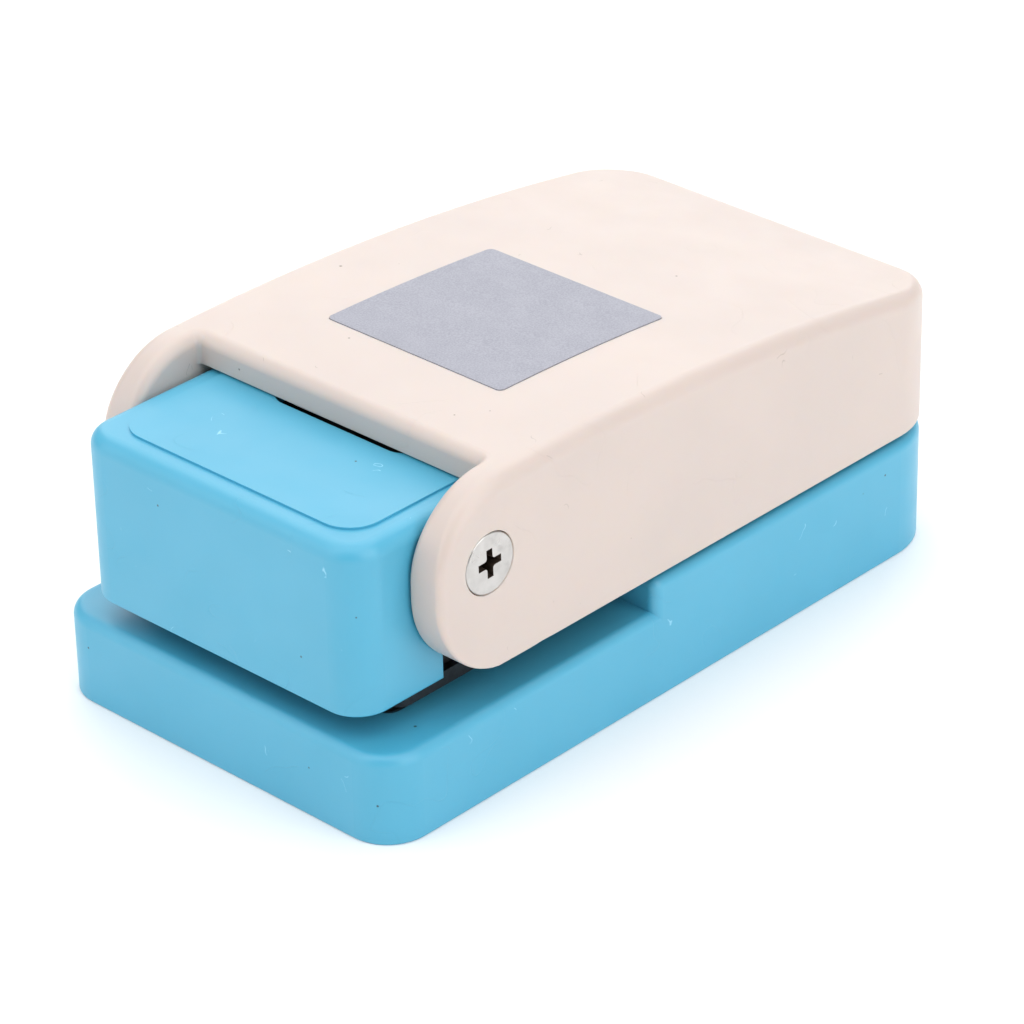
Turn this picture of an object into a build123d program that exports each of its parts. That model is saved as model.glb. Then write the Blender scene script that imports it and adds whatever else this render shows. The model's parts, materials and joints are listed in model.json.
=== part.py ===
"""Lever craft punch that cuts a square from card: base, cutting set, head and pivoting lever.

Millimetres. +X is the user's right, -Y the front where the card goes in, +Z up.
The origin is on the standing plane, under the centre of the base.
"""

from build123d import *
import os
from math import acos, asin, cos, degrees, radians, sin, sqrt

# ---------------------------------------------------------------- the cut
cut_size = 25.4
cutting_clearance = 0.04
punch_depth_in_die = 1.0
punch_lift = 2.88

# ---------------------------------------------------------------- width, from the cut outward
spring_d = 3.8
spring_gap = 0.2
frame_sheet = 1.5
frame_fit = 0.2
head_wall = 1.8
ear_gap = 0.2
ear_thick = 4.4

# ---------------------------------------------------------------- base casing
base_length = 90.6
front_corner_r = 5.1
rear_corner_r = 9.0
low_deck_z = 10.4
card_stop_height = 3.8
base_wall = 2.0
base_deck = 2.0
rim_round = 1.2

# ---------------------------------------------------------------- places along the length
cut_from_front = 11.8
card_stop_behind_cut = 3.3
plate_front_margin = 4.3
plate_behind_stop = 10.8
spacer_behind_stop = 0.6
head_behind_front = 0.8
head_behind_plates = 2.5
nose_length = 12.4
press_arm = 8.96
crown_from_front = 27.3
catch_from_rear = 14.3

# ---------------------------------------------------------------- cutting set
die_thick = 2.5
card_gap = 1.2
guide_thick = 1.7
plate_inset = 1.0
die_plate_inset = 1.6
plate_front_r = 1.8
plate_fit = 0.2
seat_ledge = 2.5
seat_wall = 1.5
seat_side_room = 1.6
seat_end_room = 0.8

# ---------------------------------------------------------------- punch frame and guide block
frame_setback = 0.6
frame_foot_width = 8.0
frame_foot_behind_stop = 0.8
frame_top_r = 3.0
frame_slope_length = 12.0
frame_roof_gap = 0.25
rivet_behind_stop = 3.0
rivet_spacing = 4.0
rivet_outward = 0.1
guide_block_height = 4.7
block_rear_wall = 2.5

# ---------------------------------------------------------------- head cover
head_over_deck = 22.65
head_corner_r = 4.0
head_rear_corner_r = 2.0
head_edge_round = 1.7
panel_inset = 3.0
panel_raise = 0.25
side_lift = 4.2
opening_width = 20.6
opening_depth = 11.6
opening_corner_r = 2.5
tab_length = 5.0
tab_width = 8.0
tab_thick = 1.8
tab_root = 1.0
tab_inset = 8.4

# ---------------------------------------------------------------- lever
lever_gap = 0.85
lever_wall = 2.2
lever_roof = 2.3
lever_crown_r = 330.0
tail_round = 5.0
tail_slope = 50.0
ear_behind_pivot = 2.71
ear_front_r = 9.95
ear_heel = 0.15
lintel_gap = 0.25
lintel_height = 3.6
lintel_lead = 5.47
lintel_depth = 1.87
lintel_corner_r = 0.6
outer_round = 1.8
inner_round = 1.5

# ---------------------------------------------------------------- pivot
pivot_over_deck = 17.22
shaft_d = 5.0
shaft_gap = 0.24
shoulder_d = 4.0
pivot_thread_d = 3.0
pivot_thread_length = 7.0
pivot_head_d = 6.8
pivot_head_ring = 0.15
pivot_recess_d = 3.4
pivot_turns = {1: 2, -1: 35}

# ---------------------------------------------------------------- press bar, cap and springs
bar_d = 5.0
bar_length = 19.2
bar_sink = 0.05
bar_gap = 0.05
bar_rib_thick = 2.2
bar_rib_wall = 0.7
cap_side_gap = 0.4
cap_shaft_gap = 0.66
cap_rear_overhang = 1.6
cap_flange = 2.5
cap_corner_r = 2.0
boss_width = 13.6
boss_depth = 9.6
boss_corner_r = 1.5
cap_screw_sink = 4.0
spring_wire = 0.5
spring_turns = 4
spring_end_gap = 0.05
spring_front_inset = 2.7
spring_rear_inset = 5.4
spring_peg_d = 2.4
spring_peg_height = 1.2

# ---------------------------------------------------------------- label
label_behind_front = 43.1
label_proud = 0.08
label_recess = 0.17
label_corner_r = 0.7
label_fit = 0.06

# ---------------------------------------------------------------- bottom cover
cover_lift = 0.5
cover_thick = 1.5
cover_fit = 0.2
chute_room = 0.3
chute_wall = 1.2
chute_height = 3.2

# ---------------------------------------------------------------- catch
catch_length = 5.0
catch_leaf = 0.4
catch_leaf_height = 4.6
catch_foot_length = 9.0
catch_foot_lip = 1.5
catch_rib_thick = 1.5
catch_rib_above_deck = 2.4
catch_side_gap = 0.1

# ---------------------------------------------------------------- fasteners
screw_d = 2.4
screw_head_d = 4.4
screw_recess_d = 2.0
screw_bore_fit = 0.05
small_screw_d = 2.0
small_screw_head_d = 3.6
small_screw_recess_d = 1.6
pan_height_share = 0.4
slot_width_share = 0.26
slot_depth_share = 0.6
screw_tip = 0.4
rivet_d = 2.4
rivet_head_d = 3.8
rivet_head_height = 0.7
edge_break = 0.3
skirt_round = 0.25
head_rim = 0.25
head_ring = 0.1
boss_d = 6.0
boss_root = 0.5
bore_run_out = 1.0
cover_screw_length = 6.5
cover_screw_inset = 5.0
cover_screw_from_rear = 8.0
tab_screw_length = 8.4
deck_boss_length = 6.0
catch_screw_length = 7.0
catch_screw_inset = 2.2
die_screw_length = 5.2
die_screw_depth = 2.0
die_screw_inset = 1.6
die_screw_end_inset = 0.7
block_screw_length = 5.0
block_screw_inset = 1.9
cap_screw_length = 11.0
cap_screw_depth = 6.5
beyond = 30.0
touching = 0.01

# ---------------------------------------------------------------- worked-out widths
cheek_inner_x = cut_size / 2 + 2 * spring_gap + spring_d
cheek_outer_x = cheek_inner_x + frame_sheet
head_half = cheek_outer_x + frame_fit + head_wall
ear_inner_x = head_half + ear_gap
half_width = ear_inner_x + ear_thick
base_width = 2 * half_width
head_width = 2 * head_half
plate_width = head_width - 2 * plate_inset
die_width = plate_width - 2 * die_plate_inset
pocket_half = plate_width / 2 + plate_fit
die_pocket_half = die_width / 2 + plate_fit
cap_width = 2 * (cheek_inner_x - cap_side_gap)
spring_x = cheek_inner_x - spring_gap - spring_d / 2

# ---------------------------------------------------------------- worked-out lengths
front_y = -base_length / 2
rear_y = base_length / 2
cut_front_y = front_y + cut_from_front
cut_rear_y = cut_front_y + cut_size
cut_centre_y = (cut_front_y + cut_rear_y) / 2
card_stop_y = cut_rear_y + card_stop_behind_cut
plate_front_y = cut_front_y - plate_front_margin
plate_rear_y = card_stop_y + plate_behind_stop
spacer_front_y = card_stop_y + spacer_behind_stop
pocket_front_y = plate_front_y - plate_fit
pocket_rear_y = plate_rear_y + plate_fit
frame_front_y = plate_front_y + frame_setback
frame_foot_front_y = card_stop_y + frame_foot_behind_stop
block_rear_y = cut_rear_y + block_rear_wall
head_front_y = front_y + head_behind_front
head_rear_y = plate_rear_y + head_behind_plates
nose_end_y = head_front_y + nose_length
pivot_y = cut_centre_y - press_arm
ear_centre_y = pivot_y + ear_behind_pivot
lintel_front_y = cut_centre_y - lintel_lead
lintel_back_y = lintel_front_y + lintel_depth
lever_crown_y = front_y + crown_from_front
cap_front_y = pivot_y + shaft_d / 2 + cap_shaft_gap
cap_rear_y = cut_rear_y + cap_rear_overhang
spring_front_y = cap_front_y + spring_front_inset
spring_rear_y = cap_rear_y - spring_rear_inset
label_centre_y = front_y + label_behind_front
catch_y = rear_y - catch_from_rear
catch_rear_y = catch_y + catch_length / 2
catch_screw_y = catch_rear_y - catch_foot_length + catch_screw_inset

# ---------------------------------------------------------------- worked-out heights
high_deck_z = low_deck_z + card_stop_height
die_bottom_z = low_deck_z - die_thick
seat_bottom_z = die_bottom_z - seat_ledge
guide_bottom_z = low_deck_z + card_gap
guide_top_z = guide_bottom_z + guide_thick
foot_top_z = guide_top_z + frame_sheet
pivot_z = low_deck_z + pivot_over_deck
punch_bottom_z = low_deck_z - punch_depth_in_die
punch_top_z = pivot_z - shaft_d / 2 - punch_lift - shaft_gap
block_top_z = guide_top_z + guide_block_height
head_top_z = low_deck_z + head_over_deck
head_ceiling_z = head_top_z - head_wall
frame_top_z = head_ceiling_z - frame_roof_gap
side_end_z = guide_top_z + side_lift
bar_z = head_top_z - bar_sink
bar_rib_r = bar_d / 2 + bar_rib_wall
cap_top_z = bar_z - bar_d / 2 - bar_gap
lever_bottom_z = high_deck_z + lever_gap
lintel_bottom_z = head_top_z + lintel_gap
lever_crown_z = lintel_bottom_z + lintel_height
above_all_z = lever_crown_z + bore_run_out
cover_top_z = cover_lift + cover_thick
catch_rib_end_z = high_deck_z + catch_rib_above_deck

# ---------------------------------------------------------------- places of what repeats
cover_screw_places = [
    (side * (half_width - cover_screw_inset), y)
    for side in (-1, 1)
    for y in (front_y + cover_screw_inset, rear_y - cover_screw_from_rear)
]
die_screw_places = [
    (side * (die_width / 2 - die_screw_inset), y)
    for side in (-1, 1)
    for y in (cut_front_y + die_screw_end_inset, cut_rear_y - die_screw_end_inset)
]
block_screw_places = [
    (side * spring_x, y)
    for side in (-1, 1)
    for y in (cut_front_y + block_screw_inset, (spring_front_y + spring_rear_y) / 2)
]
rivet_places = [
    (side * (cheek_inner_x - frame_foot_width / 2 + rivet_outward), y)
    for side in (-1, 1)
    for y in (card_stop_y + rivet_behind_stop, card_stop_y + rivet_behind_stop + rivet_spacing)
]
tab_screw_places = [(side * (head_half - tab_inset), head_rear_y + tab_length / 2) for side in (-1, 1)]
spring_places = [(side * spring_x, y) for side in (-1, 1) for y in (spring_front_y, spring_rear_y)]

os.makedirs("parts", exist_ok=True)


def save(builder, label):
    """Labels a finished piece and writes it as one STEP file."""
    builder.part.label = label
    export_step(builder.part, f"parts/{label}.step")


def polar(centre, radius, angle):
    """The point at an angle in degrees, from the first axis, on a circle in a profile plane."""
    return (centre[0] + radius * cos(radians(angle)), centre[1] + radius * sin(radians(angle)))


def screw(shank_d, length, head_d, recess_d, countersunk=True, tip_d=None, shoulder=0.0):
    """A cross-recess screw along -Z with the top of its head at Z = 0.

    A shouldered screw keeps shank_d down to the shoulder's length and then tip_d.
    """
    shank_r = shank_d / 2
    tip_r = (tip_d or shank_d) / 2
    head_r = head_d / 2
    if countersunk:
        head_height = head_r - shank_r + head_rim
        head_points = [(head_r, 0), (head_r, -head_rim)]
    else:
        head_height = pan_height_share * head_d
        head_points = [(head_r - edge_break, 0), (head_r, -edge_break), (head_r, -head_height)]
    shoulder_points = [(shank_r, -shoulder), (tip_r, -shoulder)] if shoulder else []
    with BuildPart() as body:
        with BuildSketch(Plane.XZ):
            with BuildLine():
                Polyline(
                    (0, 0),
                    *head_points,
                    (shank_r, -head_height),
                    *shoulder_points,
                    (tip_r, -length + screw_tip),
                    (tip_r - screw_tip, -length),
                    (0, -length),
                    close=True,
                )
            make_face()
        revolve(axis=Axis.Z)
        # cross recess
        slot_width = slot_width_share * recess_d
        slot_depth = slot_depth_share * recess_d
        for spin in (0, 90):
            Box(recess_d, slot_width, 2 * slot_depth, rotation=(0, 0, spin), mode=Mode.SUBTRACT)
    return body.part


def screw_seat(shank_d, head_d, ring, length):
    """The space around a countersunk screw: a ring about its head, then a cone, then a bore."""
    head_r = head_d / 2 + ring
    bore_r = shank_d / 2 + screw_bore_fit
    with BuildPart() as seat:
        with BuildSketch(Plane.XZ):
            with BuildLine():
                Polyline(
                    (0, bore_run_out),
                    (head_r, bore_run_out),
                    (head_r, -head_rim - ring / 2),
                    (bore_r, -head_rim - ring / 2 - (head_r - bore_r)),
                    (bore_r, -length),
                    (0, -length),
                    close=True,
                )
            make_face()
        revolve(axis=Axis.Z)
    return seat.part


def front_rear_plan(width, front, rear, front_r, rear_r):
    """A rectangle seen from above, with one corner radius in front and another behind."""
    with BuildSketch(mode=Mode.PRIVATE) as plan:
        with Locations((0, (front + rear) / 2)):
            Rectangle(width, rear - front)
        if front_r:
            fillet(plan.vertices().group_by(Axis.Y)[0], front_r)
        if rear_r:
            fillet(plan.vertices().sort_by(Axis.Y)[-2:], rear_r)
    return plan.sketch


def base_plan(inset=0.0, front=front_y):
    """The base's plan, drawn in by an inset, from its own front or from further back."""
    front_r = front_corner_r - inset if front == front_y else 0.0
    return front_rear_plan(
        base_width - 2 * inset, front + inset, rear_y - inset, front_r, rear_corner_r - inset
    )


# ================================================================ base_shell
seat_opening_x = cut_size + 2 * seat_side_room
# Open-bottomed casing: a low deck in front for the card and a high deck behind it.
with BuildPart() as low_casing:
    extrude(base_plan(), amount=low_deck_z)
    fillet(low_casing.faces().sort_by(Axis.Z)[-1].edges(), rim_round)
    fillet(low_casing.faces().sort_by(Axis.Z)[0].edges(), skirt_round)
    extrude(base_plan(base_wall), amount=low_deck_z - base_deck, mode=Mode.SUBTRACT)

with BuildPart() as high_casing:
    extrude(base_plan(0.0, card_stop_y), amount=high_deck_z)
    fillet(high_casing.edges().filter_by(Axis.Z).group_by(Axis.Y)[0], rim_round)
    fillet(high_casing.faces().sort_by(Axis.Z)[-1].edges(), rim_round)
    fillet(high_casing.faces().sort_by(Axis.Z)[0].edges(), skirt_round)
    extrude(base_plan(base_wall, card_stop_y), amount=high_deck_z - base_deck, mode=Mode.SUBTRACT)
    with BuildSketch():
        with Locations((0, card_stop_y)):
            Rectangle(base_width - 2 * base_wall, 4 * base_wall)
    extrude(amount=low_deck_z - base_deck, mode=Mode.SUBTRACT)

with BuildPart() as base_shell:
    add(low_casing.part)
    add(high_casing.part)
    # the low deck stops under the high one
    with BuildSketch(Plane.XY.offset(low_deck_z - base_deck)):
        with Locations((0, card_stop_y + base_wall + beyond / 2)):
            Rectangle(base_width - 2 * base_wall, beyond)
    under_high = extrude(amount=base_deck, mode=Mode.PRIVATE)
    inside = extrude(base_plan(base_wall), amount=high_deck_z, mode=Mode.PRIVATE)
    add(under_high & inside, mode=Mode.SUBTRACT)
    # seat that carries the die plate, hanging from the low deck
    with BuildSketch(Plane.XY.offset(seat_bottom_z)):
        with Locations((0, (pocket_front_y + pocket_rear_y) / 2)):
            Rectangle(2 * (pocket_half + seat_wall), pocket_rear_y - pocket_front_y + 2 * seat_wall)
    extrude(amount=low_deck_z - base_deck - seat_bottom_z)
    # bosses for the screws
    with BuildSketch(Plane.XY.offset(cover_top_z)):
        with Locations(*cover_screw_places):
            Circle(boss_d / 2)
    extrude(amount=low_deck_z - base_deck - cover_top_z + boss_root)
    with BuildSketch(Plane.XY.offset(cover_top_z)):
        with Locations(*[place for place in cover_screw_places if place[1] > 0]):
            Circle(boss_d / 2)
    extrude(amount=high_deck_z - base_deck - cover_top_z + boss_root)
    with BuildSketch(Plane.XY.offset(high_deck_z - base_deck - deck_boss_length)):
        with Locations(*tab_screw_places, (0, catch_screw_y)):
            Circle(boss_d / 2)
    extrude(amount=deck_boss_length + boss_root)
    # pocket for the cutting set: narrow in the low deck, wider through the high one
    die_pocket = front_rear_plan(2 * die_pocket_half, pocket_front_y, pocket_rear_y, plate_front_r, 0.0)
    extrude(Pos(0, 0, die_bottom_z) * die_pocket, amount=beyond, mode=Mode.SUBTRACT)
    pocket_plan = front_rear_plan(2 * pocket_half, pocket_front_y, pocket_rear_y, plate_front_r, 0.0)
    extrude(Pos(0, 0, low_deck_z) * pocket_plan, amount=beyond, mode=Mode.SUBTRACT)
    with BuildSketch(Plane.XY.offset(seat_bottom_z)):
        with Locations((0, cut_centre_y)):
            Rectangle(seat_opening_x, cut_size + 2 * seat_end_room)
        with Locations((0, (spacer_front_y + pocket_rear_y) / 2)):
            Rectangle(2 * cheek_inner_x, pocket_rear_y - spacer_front_y)
    extrude(amount=beyond, mode=Mode.SUBTRACT)
    # pilot holes
    with Locations(*[Pos(x, y, cover_top_z) * Rot(180, 0, 0) for x, y in cover_screw_places]):
        Hole(screw_d / 2 + screw_bore_fit, cover_screw_length - cover_thick + bore_run_out)
    with Locations(*[Pos(x, y, high_deck_z) for x, y in tab_screw_places]):
        Hole(screw_d / 2 + screw_bore_fit, tab_screw_length - tab_thick)
    with Locations(Pos(0, catch_screw_y, high_deck_z)):
        Hole(small_screw_d / 2 + screw_bore_fit, catch_screw_length - catch_leaf)
    with Locations(*[Pos(x, y, die_bottom_z) for x, y in die_screw_places]):
        Hole(small_screw_d / 2 + screw_bore_fit, seat_ledge + bore_run_out)
save(base_shell, "base_shell")

# ================================================================ bottom_cover
# Plate inside the walls, with a square chute that the cut squares drop through.
chip_window = cut_size + 2 * chute_room
cover_screw_seat = screw_seat(screw_d, screw_head_d, head_ring, cover_thick + bore_run_out)
with BuildPart() as bottom_cover:
    extrude(Pos(0, 0, cover_lift) * base_plan(base_wall + cover_fit), amount=cover_thick)
    with BuildSketch(Plane.XY.offset(cover_top_z)):
        with Locations((0, cut_centre_y)):
            Rectangle(chip_window + 2 * chute_wall, chip_window + 2 * chute_wall)
    extrude(amount=chute_height)
    with BuildSketch(Plane.XY):
        with Locations((0, cut_centre_y)):
            Rectangle(chip_window, chip_window)
    extrude(amount=beyond, mode=Mode.SUBTRACT)
    with Locations(*[Pos(x, y, cover_lift) * Rot(180, 0, 0) for x, y in cover_screw_places]):
        add(cover_screw_seat, mode=Mode.SUBTRACT)
save(bottom_cover, "bottom_cover")

with BuildPart() as bottom_cover_screws:
    with Locations(*[Pos(x, y, cover_lift) * Rot(180, 0, 0) for x, y in cover_screw_places]):
        add(screw(screw_d, cover_screw_length, screw_head_d, screw_recess_d))
save(bottom_cover_screws, "bottom_cover_screws")


def cutting_plate(bottom_z, thick, width):
    """Adds a plate of the cutting set, with rounded front corners, to the open part."""
    plan = front_rear_plan(width, plate_front_y, plate_rear_y, plate_front_r, 0.0)
    extrude(Pos(0, 0, bottom_z) * plan, amount=thick)


def square_hole(bottom_z, clearance):
    """Cuts the square that the punch passes through, upward from bottom_z."""
    side = cut_size + 2 * clearance
    square = front_rear_plan(side, cut_centre_y - side / 2, cut_centre_y + side / 2, 0.0, 0.0)
    extrude(Pos(0, 0, bottom_z - bore_run_out) * square, amount=beyond, mode=Mode.SUBTRACT)


# ================================================================ die_plate
with BuildPart() as die_plate:
    cutting_plate(die_bottom_z, die_thick, die_width)
    square_hole(die_bottom_z, cutting_clearance)
    with Locations(*[Pos(x, y, low_deck_z) for x, y in rivet_places]):
        Hole(rivet_d / 2 + screw_bore_fit)
    with Locations(*[Pos(x, y, die_bottom_z) * Rot(180, 0, 0) for x, y in die_screw_places]):
        Hole(small_screw_d / 2 + screw_bore_fit, die_screw_depth)
save(die_plate, "die_plate")

die_screw_top_z = seat_bottom_z - pan_height_share * small_screw_head_d
with BuildPart() as die_screws:
    with Locations(*[Pos(x, y, die_screw_top_z) * Rot(180, 0, 0) for x, y in die_screw_places]):
        add(screw(small_screw_d, die_screw_length, small_screw_head_d, small_screw_recess_d, False))
save(die_screws, "die_screws")

# ================================================================ gap_spacer
# Strip behind the card stop that holds the two plates one card gap apart.
with BuildPart() as gap_spacer:
    with BuildSketch(Plane.XY.offset(low_deck_z)):
        with Locations((0, (spacer_front_y + plate_rear_y) / 2)):
            Rectangle(plate_width, plate_rear_y - spacer_front_y)
    extrude(amount=card_gap)
    with Locations(*[Pos(x, y, guide_bottom_z) for x, y in rivet_places]):
        Hole(rivet_d / 2 + screw_bore_fit)
save(gap_spacer, "gap_spacer")

# ================================================================ guide_plate
block_screw_seat = screw_seat(small_screw_d, small_screw_head_d, head_ring, guide_thick + bore_run_out)
with BuildPart() as guide_plate:
    cutting_plate(guide_bottom_z, guide_thick, plate_width)
    square_hole(guide_bottom_z, cutting_clearance)
    with Locations(*[Pos(x, y, guide_top_z) for x, y in rivet_places]):
        Hole(rivet_d / 2 + screw_bore_fit)
    with Locations(*[Pos(x, y, guide_bottom_z) * Rot(180, 0, 0) for x, y in block_screw_places]):
        add(block_screw_seat, mode=Mode.SUBTRACT)
save(guide_plate, "guide_plate")

# ================================================================ punch_frame
# Folded steel channel: two cheeks, a rear web and a pair of feet under the rivets.
with BuildPart() as punch_frame:
    for side in (-1, 1):
        with BuildSketch(Plane.YZ.offset(side * (cheek_inner_x + frame_sheet / 2))):
            with BuildLine():
                Polyline(
                    (frame_front_y, guide_top_z),
                    (plate_rear_y, guide_top_z),
                    (plate_rear_y, punch_top_z),
                    (plate_rear_y - frame_slope_length, frame_top_z),
                    (frame_front_y, frame_top_z),
                    close=True,
                )
            make_face()
        extrude(amount=frame_sheet / 2, both=True)
    fillet(punch_frame.edges().filter_by(Axis.X).group_by(Axis.Z)[-1], frame_top_r)
    with BuildSketch(Plane.XY.offset(guide_top_z)):
        with Locations((0, plate_rear_y - frame_sheet / 2)):
            Rectangle(2 * cheek_outer_x, frame_sheet)
    extrude(amount=block_top_z - guide_top_z)
    with BuildSketch(Plane.XY.offset(guide_top_z)):
        for side in (-1, 1):
            foot_x = side * (cheek_inner_x - frame_foot_width / 2)
            with Locations((foot_x, (frame_foot_front_y + plate_rear_y) / 2)):
                Rectangle(frame_foot_width, plate_rear_y - frame_foot_front_y)
    extrude(amount=frame_sheet)
    with Locations(*[Pos(x, y, foot_top_z) for x, y in rivet_places]):
        Hole(rivet_d / 2 + screw_bore_fit, frame_sheet)
    with BuildSketch(Plane.YZ):
        with Locations((pivot_y, pivot_z)):
            Circle(shaft_d / 2 + screw_bore_fit)
    extrude(amount=beyond, both=True, mode=Mode.SUBTRACT)
save(punch_frame, "punch_frame")

rivet_bottom_z = die_bottom_z - rivet_head_height
rivet_top_z = foot_top_z + rivet_head_height
with BuildPart() as one_rivet:
    with BuildSketch(Plane.XZ):
        with BuildLine():
            Polyline(
                (0, rivet_bottom_z),
                (rivet_head_d / 2 - edge_break, rivet_bottom_z),
                (rivet_head_d / 2, rivet_bottom_z + edge_break),
                (rivet_head_d / 2, die_bottom_z),
                (rivet_d / 2, die_bottom_z),
                (rivet_d / 2, foot_top_z),
                (rivet_head_d / 2, foot_top_z),
                (rivet_head_d / 2, rivet_top_z - edge_break),
                (rivet_head_d / 2 - edge_break, rivet_top_z),
                (0, rivet_top_z),
                close=True,
            )
        make_face()
    revolve(axis=Axis.Z)
with BuildPart() as frame_rivets:
    with Locations(*rivet_places):
        add(one_rivet.part)
save(frame_rivets, "frame_rivets")

# ================================================================ guide_block
# Square sleeve between the cheeks; pegs on its top locate the return springs.
with BuildPart() as guide_block:
    with BuildSketch(Plane.XY.offset(guide_top_z)):
        with Locations((0, (frame_front_y + block_rear_y) / 2)):
            Rectangle(2 * cheek_inner_x, block_rear_y - frame_front_y)
    extrude(amount=guide_block_height)
    with BuildSketch(Plane.XY.offset(block_top_z)):
        with Locations(*spring_places):
            Circle(spring_peg_d / 2)
    extrude(amount=spring_peg_height)
    square_hole(guide_top_z, cutting_clearance)
    with Locations(*[Pos(x, y, guide_top_z) * Rot(180, 0, 0) for x, y in block_screw_places]):
        Hole(small_screw_d / 2 + screw_bore_fit, block_screw_length - guide_thick + screw_bore_fit)
save(guide_block, "guide_block")

with BuildPart() as guide_block_screws:
    with Locations(*[Pos(x, y, guide_bottom_z) * Rot(180, 0, 0) for x, y in block_screw_places]):
        add(screw(small_screw_d, block_screw_length, small_screw_head_d, small_screw_recess_d))
save(guide_block_screws, "guide_block_screws")

def on_head_skirt(edge):
    """Whether an edge bounds the nose from below, or a side from below or in front."""
    middle = edge @ 0.5
    round_nose = middle.Z < guide_top_z + touching and middle.Y < nose_end_y - touching
    under_side = abs(middle.X) > head_half - touching and middle.Z < side_end_z + touching
    return round_nose or (under_side and middle.Y < card_stop_y - touching)


# ================================================================ head_cover
# Open-bottomed hood over the frame. Its sides stop short above the card behind the nose.
with BuildPart() as head_cover:
    head_plan = front_rear_plan(head_width, head_front_y, head_rear_y, head_corner_r, head_rear_corner_r)
    extrude(Pos(0, 0, guide_top_z) * head_plan, amount=head_top_z - panel_raise - guide_top_z)
    fillet(head_cover.faces().sort_by(Axis.Z)[-1].edges(), head_edge_round)
    with BuildSketch(Plane.XY.offset(head_top_z - panel_raise)):
        with Locations((0, (head_front_y + head_rear_y) / 2)):
            RectangleRounded(
                head_width - 2 * panel_inset,
                head_rear_y - head_front_y - 2 * panel_inset,
                head_corner_r - panel_raise,
            )
    extrude(amount=panel_raise)
    # sides lifted behind the nose, and set on the high deck behind the card stop
    with BuildSketch(Plane.YZ):
        with BuildLine():
            Polyline(
                (nose_end_y, 0),
                (nose_end_y, side_end_z),
                (card_stop_y, side_end_z),
                (card_stop_y, high_deck_z),
                (head_rear_y + bore_run_out, high_deck_z),
                (head_rear_y + bore_run_out, 0),
                close=True,
            )
        make_face()
    extrude(amount=beyond, both=True, mode=Mode.SUBTRACT)
    fillet(head_cover.edges().filter_by(on_head_skirt), skirt_round)
    hood_plan = front_rear_plan(
        head_width - 2 * head_wall,
        head_front_y + head_wall,
        head_rear_y - head_wall,
        head_corner_r - head_wall,
        head_rear_corner_r - head_wall,
    )
    extrude(Pos(0, 0, guide_top_z) * hood_plan, amount=head_ceiling_z - guide_top_z, mode=Mode.SUBTRACT)
    # opening over the push cap
    with BuildSketch(Plane.XY.offset(head_ceiling_z - bore_run_out)):
        with Locations((0, cut_centre_y)):
            RectangleRounded(opening_width, opening_depth, opening_corner_r)
    extrude(amount=beyond, mode=Mode.SUBTRACT)
    # pivot holes
    with BuildSketch(Plane.YZ):
        with Locations((pivot_y, pivot_z)):
            Circle(shaft_d / 2 + screw_bore_fit)
    extrude(amount=beyond, both=True, mode=Mode.SUBTRACT)
    # rear tabs screwed to the high deck
    with BuildSketch(Plane.XY.offset(high_deck_z)):
        for side in (-1, 1):
            with Locations((side * (head_half - tab_inset), head_rear_y + (tab_length - tab_root) / 2)):
                Rectangle(tab_width, tab_length + tab_root)
    extrude(amount=tab_thick)
    with Locations(*[Pos(x, y, high_deck_z + tab_thick) for x, y in tab_screw_places]):
        Hole(screw_d / 2 + screw_bore_fit, tab_thick)
save(head_cover, "head_cover")

pan_height = pan_height_share * screw_head_d
with BuildPart() as head_cover_screws:
    with Locations(*[Pos(x, y, high_deck_z + tab_thick + pan_height) for x, y in tab_screw_places]):
        add(screw(screw_d, tab_screw_length, screw_head_d, screw_recess_d, False))
save(head_cover_screws, "head_cover_screws")

# ================================================================ pivot
with BuildPart() as pivot_shaft:
    with BuildSketch(Plane.YZ):
        with Locations((pivot_y, pivot_z)):
            Circle(shaft_d / 2)
    extrude(amount=head_half, both=True)
    chamfer(pivot_shaft.edges().filter_by(GeomType.CIRCLE), edge_break)
    with BuildSketch(Plane.YZ):
        with Locations((pivot_y, pivot_z)):
            Circle(pivot_thread_d / 2 + screw_bore_fit)
    extrude(amount=beyond, both=True, mode=Mode.SUBTRACT)
save(pivot_shaft, "pivot_shaft")

pivot_shoulder = half_width - head_half
with BuildPart() as pivot_screws:
    with Locations(
        *[
            Pos(side * half_width, pivot_y, pivot_z) * Rot(0, side * 90, 0) * Rot(0, 0, turn)
            for side, turn in pivot_turns.items()
        ]
    ):
        add(
            screw(
                shoulder_d,
                pivot_shoulder + pivot_thread_length,
                pivot_head_d,
                pivot_recess_d,
                tip_d=pivot_thread_d,
                shoulder=pivot_shoulder,
            )
        )
save(pivot_screws, "pivot_screws")

# ================================================================ return springs
with BuildPart() as return_springs:
    spring_r = (spring_d - spring_wire) / 2
    coil_height = punch_top_z - block_top_z - spring_wire - 2 * spring_end_gap
    with BuildLine(mode=Mode.PRIVATE) as coil_line:
        coil_path = Helix(coil_height / spring_turns, coil_height, spring_r)
    with BuildSketch(Plane(origin=coil_path @ 0, z_dir=coil_path % 0), mode=Mode.PRIVATE) as wire_section:
        Circle(spring_wire / 2)
    coil = sweep(wire_section.sketch, path=coil_path, is_frenet=True, mode=Mode.PRIVATE)
    for x, y in spring_places:
        add(Pos(x, y, block_top_z + spring_wire / 2 + spring_end_gap) * coil)
save(return_springs, "return_springs")

# ================================================================ punch_block
with BuildPart() as punch_block:
    with BuildSketch(Plane.XY.offset(punch_bottom_z)):
        with Locations((0, cut_centre_y)):
            Rectangle(cut_size, cut_size)
    extrude(amount=punch_top_z - punch_bottom_z)
    with Locations(Pos(0, cut_centre_y, punch_top_z)):
        Hole(screw_d / 2 + screw_bore_fit, cap_screw_depth)
save(punch_block, "punch_block")

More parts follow.
